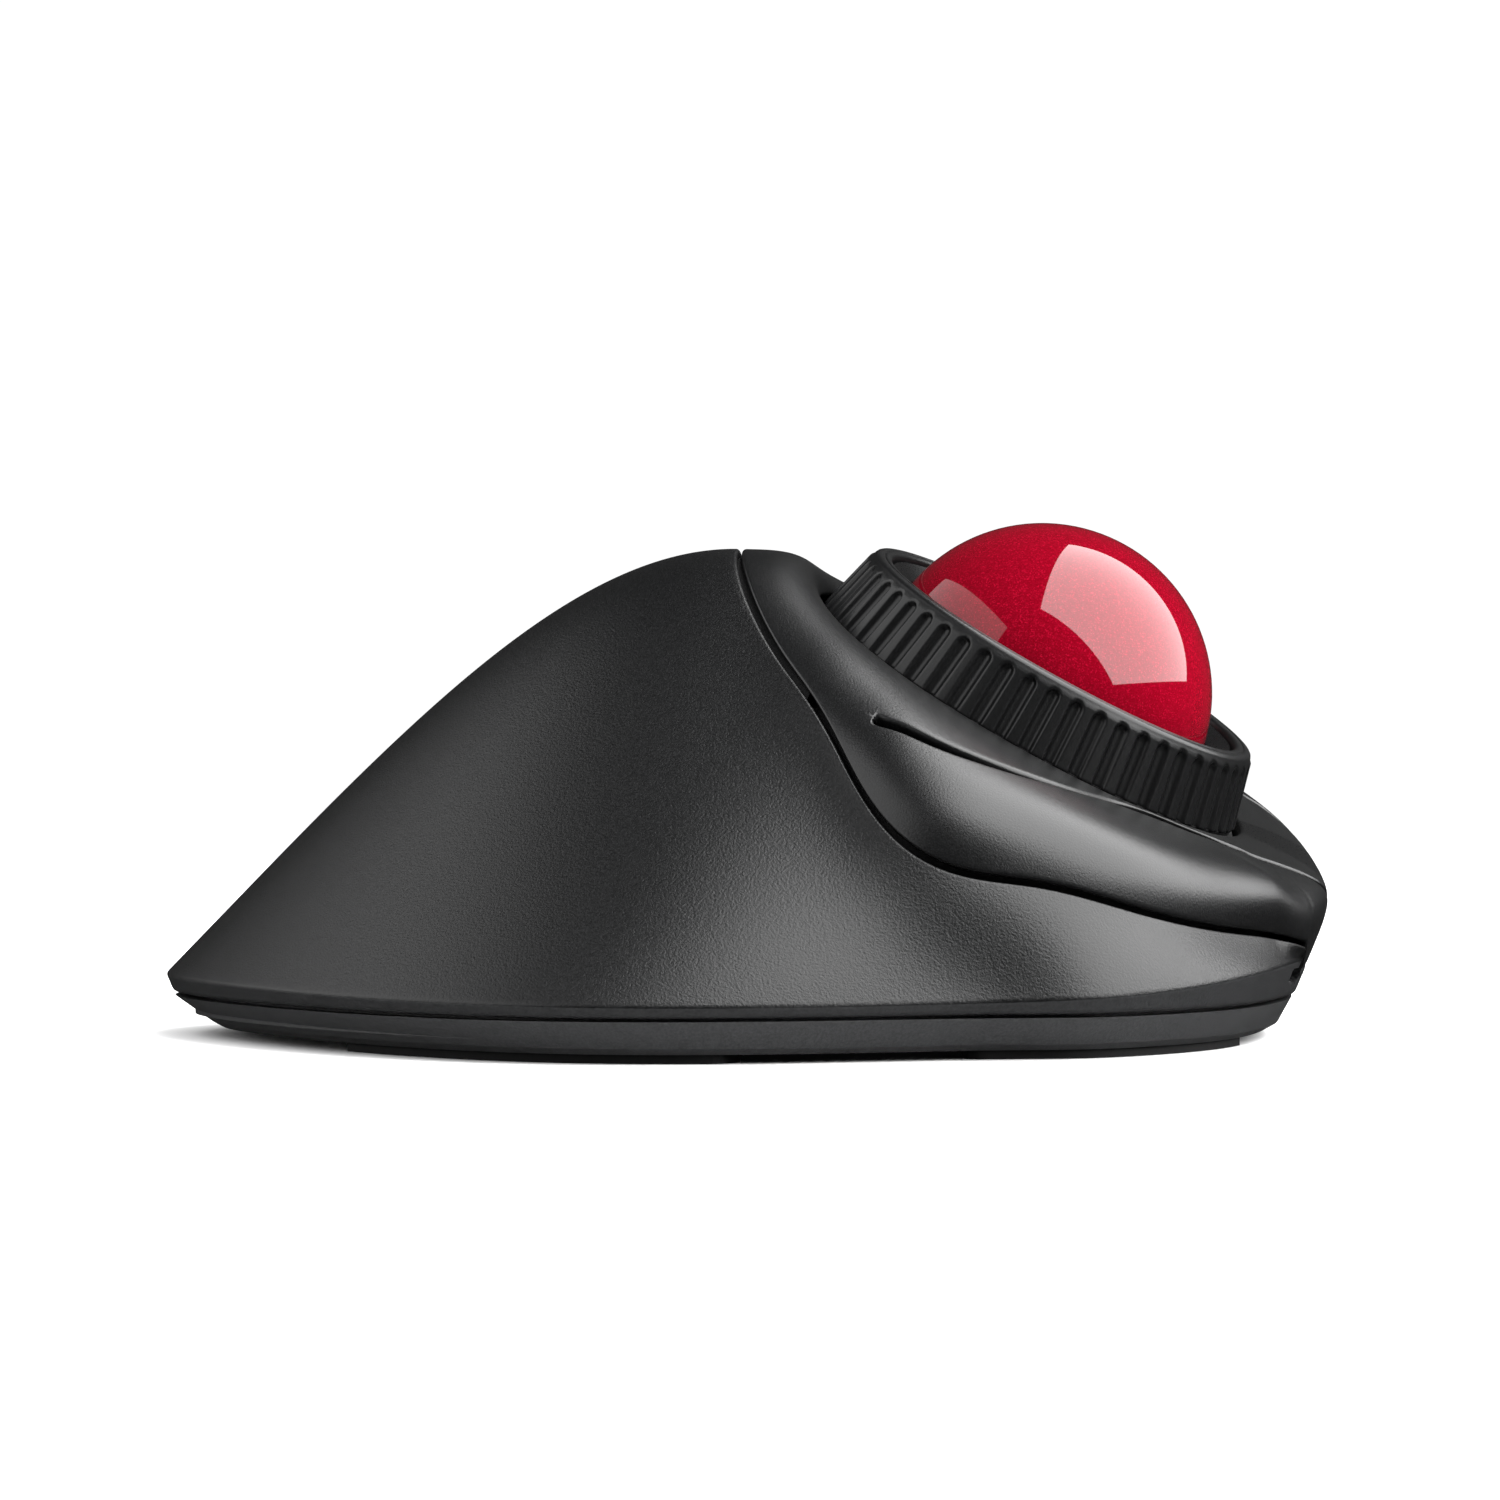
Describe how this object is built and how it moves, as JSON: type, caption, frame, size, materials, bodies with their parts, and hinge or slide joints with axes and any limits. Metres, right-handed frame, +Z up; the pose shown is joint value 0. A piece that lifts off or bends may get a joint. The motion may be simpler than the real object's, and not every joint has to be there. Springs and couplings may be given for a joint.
{
  "type": "trackball mouse",
  "caption": "Desk trackball with a ball in a turning fluted ring, cantilever buttons beside it, and a high palm rest sloping to the back.",
  "frame": {"origin": "middle of the bounding box in plan, on the desk plane that the feet stand on", "axes": "+X to the front, the ball's end; +Y to the user's left; +Z up"},
  "size_m": [0.1362, 0.1098, 0.0599],
  "materials": {
    "palm_black": "fine mottled rubbery black",
    "panel_black": "fine satin black",
    "gloss_black": "smooth black",
    "ring_black": "satin black",
    "base_black": "fine grain black",
    "inner_black": "plain black",
    "inner_grey": "plain grey",
    "ball_red": "deep red with fine speckle under clear gloss",
    "foot_rubber": "smooth dark rubber",
    "bearing_white": "polished ceramic",
    "clear": "clear moulded",
    "board_green": "solder mask",
    "steel": "bright",
    "nickel": "nickel plated",
    "cell_silver": "plain sleeve",
    "switch_ivory": "plain ivory"
  },
  "bodies": {
    "chassis": {"palm_cover": "palm_black", "seam_frame": "inner_black", "centre_panel": "panel_black", "nose_panel": "gloss_black", "base_case": "base_black", "case_screws": "steel", "ball_housing": "inner_black", "ring_glide": "inner_black", "ball_cup": "inner_black", "ball_bezel": "gloss_black", "side_switch_board": "board_green", "battery_tray": "inner_black", "forward_switch": "inner_grey", "back_switch": "inner_grey", "right_switch": "inner_black", "right_switch_board": "board_green", "right_board_posts": "inner_black", "left_switch": "inner_black", "left_switch_board": "board_green", "left_board_posts": "inner_black", "ball_bearing_1": "bearing_white", "ball_bearing_2": "bearing_white", "ball_bearing_3": "bearing_white", "foot_rear_right": "foot_rubber", "foot_front_right": "foot_rubber", "foot_front_left": "foot_rubber", "foot_rear_left": "foot_rubber", "sensor_lens": "clear", "sensor_chip": "gloss_black", "sensor_board": "board_green", "battery_cell": "cell_silver", "battery_terminal": "nickel", "battery_spring": "nickel", "contact_plates": "nickel", "power_switch": "steel", "speed_switch": "steel", "main_board": "board_green", "board_chips": "gloss_black", "board_connector": "switch_ivory"},
    "ball": {"trackball": "ball_red"},
    "ring": {"scroll_ring": "ring_black", "encoder_comb": "inner_black"},
    "right_key": {"right_button": "panel_black"},
    "left_key": {"left_button": "panel_black"},
    "forward_key": {"forward_button": "gloss_black"},
    "back_key": {"back_button": "gloss_black"},
    "right_click": {"right_plunger": "switch_ivory"},
    "left_click": {"left_plunger": "switch_ivory"},
    "forward_click": {"forward_stem": "switch_ivory"},
    "back_click": {"back_stem": "switch_ivory"},
    "speed_key": {"speed_button": "gloss_black"},
    "power_key": {"power_slider": "inner_grey"},
    "door": {"battery_door": "base_black"},
    "receiver": {"receiver_body": "gloss_black", "receiver_plug": "nickel", "receiver_insert": "inner_black"}
  },
  "joints": [
    {"name": "trackball_roll", "type": "hinge", "parent": "chassis", "child": "ball", "pos_m": [0.03466, 0.00662, 0.0399], "axis": [0, 1, 0], "continuous": true},
    {"name": "scroll_ring_spin", "type": "hinge", "parent": "chassis", "child": "ring", "pos_m": [0.03466, 0.00662, 0.0399], "axis": [0.4714, -0.1736, 0.8646], "continuous": true},
    {"name": "right_button_press", "type": "hinge", "parent": "chassis", "child": "right_key", "pos_m": [0.01426, -0.03035, 0.036], "axis": [0.4493, 0.8934, 0], "range_deg": [0, 0.9], "stiffness_Nm_per_rad": 6, "springref_deg": -0.57},
    {"name": "left_button_press", "type": "hinge", "parent": "chassis", "child": "left_key", "pos_m": [0.00973, 0.04014, 0.041], "axis": [-0.5878, 0.809, 0], "range_deg": [0, 0.9], "stiffness_Nm_per_rad": 6, "springref_deg": -0.57},
    {"name": "forward_button_press", "type": "slide", "parent": "chassis", "child": "forward_key", "axis": [-0.0698, -0.9976, 0], "range_m": [0, 0.0006], "stiffness_N_per_m": 600, "springref_m": -0.0006},
    {"name": "back_button_press", "type": "slide", "parent": "chassis", "child": "back_key", "axis": [-0.0698, -0.9976, 0], "range_m": [0, 0.0006], "stiffness_N_per_m": 600, "springref_m": -0.0006},
    {"name": "right_plunger_travel", "type": "slide", "parent": "chassis", "child": "right_click", "axis": [0, 0, -1], "range_m": [0, 0.0007]},
    {"name": "left_plunger_travel", "type": "slide", "parent": "chassis", "child": "left_click", "axis": [0, 0, -1], "range_m": [0, 0.001]},
    {"name": "forward_stem_travel", "type": "slide", "parent": "chassis", "child": "forward_click", "axis": [-0.0698, -0.9976, 0], "range_m": [0, 0.0006]},
    {"name": "back_stem_travel", "type": "slide", "parent": "chassis", "child": "back_click", "axis": [-0.0698, -0.9976, 0], "range_m": [0, 0.0006]},
    {"name": "speed_button_press", "type": "slide", "parent": "chassis", "child": "speed_key", "axis": [0, 0, 1], "range_m": [0, 0.0005], "stiffness_N_per_m": 500, "springref_m": -0.0005},
    {"name": "power_slide", "type": "slide", "parent": "chassis", "child": "power_key", "axis": [0, 1, 0], "range_m": [0, 0.0035]},
    {"name": "battery_door_swing", "type": "hinge", "parent": "chassis", "child": "door", "pos_m": [-0.0178, 0.001, 0.0012], "axis": [0, -1, 0], "range_deg": [0, 75]},
    {"name": "receiver_pull", "type": "slide", "parent": "chassis", "child": "receiver", "axis": [0, 0, -1], "range_m": [0, 0.008]}
  ],
  "couplings": [
    {"joint": "right_plunger_travel", "follows": "right_button_press", "m_per_rad": 0.0206},
    {"joint": "left_plunger_travel", "follows": "left_button_press", "m_per_rad": 0.02917},
    {"joint": "forward_stem_travel", "follows": "forward_button_press", "ratio": 1},
    {"joint": "back_stem_travel", "follows": "back_button_press", "ratio": 1}
  ]
}
